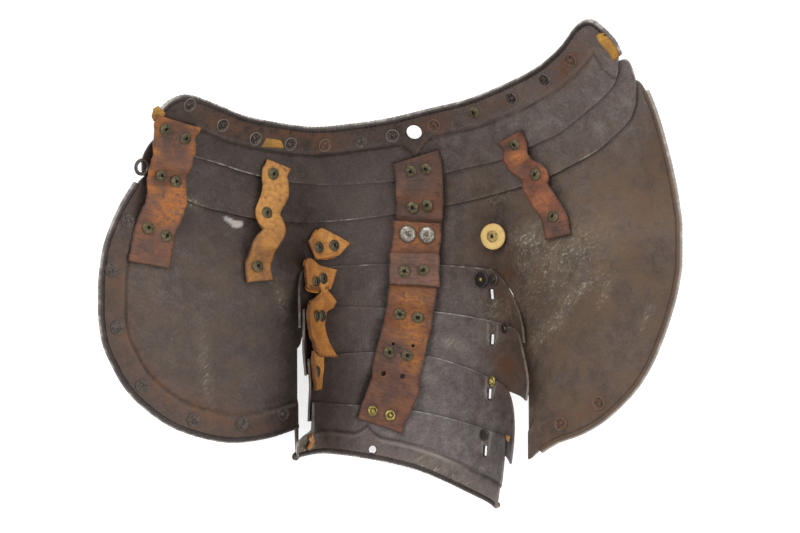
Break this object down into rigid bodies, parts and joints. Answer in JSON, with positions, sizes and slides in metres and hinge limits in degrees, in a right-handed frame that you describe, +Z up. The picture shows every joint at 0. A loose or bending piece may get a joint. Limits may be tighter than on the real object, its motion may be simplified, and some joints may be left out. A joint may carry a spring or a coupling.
{
  "type": "plate pauldron with leather straps, hollow side up",
  "caption": "Steel shoulder defence of a plate armour: a winged main plate with sliding lames, leather straps and rivets, lying hollow side up.",
  "frame": {"origin": "middle of the bounding box, on the surface that the part lies on", "axes": "+X across the two wings, +Y from the arm to the neck, +Z up out of the hollow"},
  "size_m": [0.3436, 0.2905, 0.1204],
  "materials": {
    "plate_steel": "dark patina inside, worn bright outside",
    "brown_leather": "worn matt",
    "orange_leather": "torn, matt",
    "tan_leather": "matt",
    "brass_rivets": "dull",
    "iron_rivets": "rusty",
    "bright_rivets": "tinned"
  },
  "bodies": {
    "root": {"rivet_left_wide_1": "brass_rivets", "rivet_left_wide_2": "brass_rivets", "rivet_left_wide_3": "brass_rivets", "rivet_left_wide_4": "brass_rivets", "rivet_left_wide_5": "brass_rivets", "rivet_left_wide_6": "brass_rivets", "rivet_left_narrow_1": "brass_rivets", "rivet_left_narrow_2": "brass_rivets", "rivet_left_narrow_3": "brass_rivets", "rivet_middle_1": "brass_rivets", "rivet_middle_2": "brass_rivets", "rivet_middle_3": "brass_rivets", "rivet_middle_4": "brass_rivets", "rivet_middle_5": "brass_rivets", "rivet_middle_6": "brass_rivets", "rivet_middle_7": "brass_rivets", "rivet_middle_8": "brass_rivets", "rivet_middle_9": "brass_rivets", "rivet_middle_10": "brass_rivets", "rivet_right_1": "brass_rivets", "rivet_right_2": "brass_rivets", "rivet_right_3": "brass_rivets", "rivet_torn_1": "iron_rivets", "rivet_torn_2": "iron_rivets", "domed_rivet_left": "brass_rivets", "domed_rivet_right": "brass_rivets", "washer_rivet": "brass_rivets", "rivet_torn_3": "iron_rivets", "rivet_torn_4": "iron_rivets", "rivet_torn_5": "iron_rivets", "rivet_torn_6": "iron_rivets", "rivet_torn_7": "iron_rivets", "sliding_rivet_1": "iron_rivets", "sliding_rivet_2": "iron_rivets", "sliding_rivet_3": "iron_rivets", "sliding_rivet_4": "iron_rivets", "sliding_rivet_5": "iron_rivets", "big_rivet_left": "bright_rivets", "big_rivet_right": "bright_rivets", "main_plate": "plate_steel", "second_lame": "plate_steel", "neck_lame": "plate_steel", "arm_lame_1": "plate_steel", "arm_lame_2": "plate_steel", "arm_lame_3": "plate_steel", "arm_lame_4": "plate_steel", "strap_left_wide": "brown_leather", "strap_left_narrow": "tan_leather", "strap_middle_upper": "brown_leather", "strap_middle_lower": "brown_leather", "strap_middle_tab": "brown_leather", "strap_right_narrow": "brown_leather", "torn_strap_top": "orange_leather", "torn_strap_middle": "orange_leather", "torn_strap_bottom": "orange_leather", "leather_washer": "tan_leather"}
  },
  "joints": []
}
